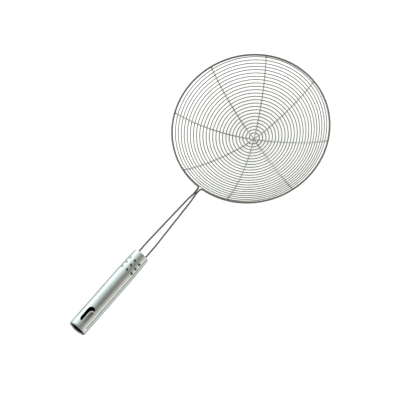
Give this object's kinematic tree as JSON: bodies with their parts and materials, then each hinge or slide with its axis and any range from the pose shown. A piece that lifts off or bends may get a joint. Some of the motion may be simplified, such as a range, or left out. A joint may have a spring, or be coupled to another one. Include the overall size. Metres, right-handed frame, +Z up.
{
  "type": "spider skimmer",
  "caption": "Round wire skimmer: a shallow spiral-wire bowl on crossing ribs in a wire hoop, with two wire legs and a tubular steel handle.",
  "frame": {"origin": "centre of the hoop, at the middle of its wire", "axes": "+Z up out of the open bowl, square to the hoop's plane; the handle points along -Y and rises a little; +X to the right"},
  "size_m": [0.162, 0.3539, 0.0665],
  "materials": {
    "hoop_wire": "polished round stainless wire",
    "rib_wire": "polished thin stainless wire",
    "mesh_wire": "electropolished thin stainless wire",
    "weld": "cleaned weld, slightly darker",
    "handle_tube": "satin stainless tube, brushed lengthwise",
    "handle_plug": "turned steel plug"
  },
  "bodies": {
    "root": {"hoop_and_legs": "hoop_wire", "rib_wire_1": "rib_wire", "rib_wire_2": "rib_wire", "rib_wire_3": "rib_wire", "rib_wire_4": "rib_wire", "mesh_spiral": "mesh_wire", "rib_end_welds": "weld", "neck_weld": "weld", "handle_tube": "handle_tube", "handle_plug": "handle_plug"}
  },
  "joints": []
}
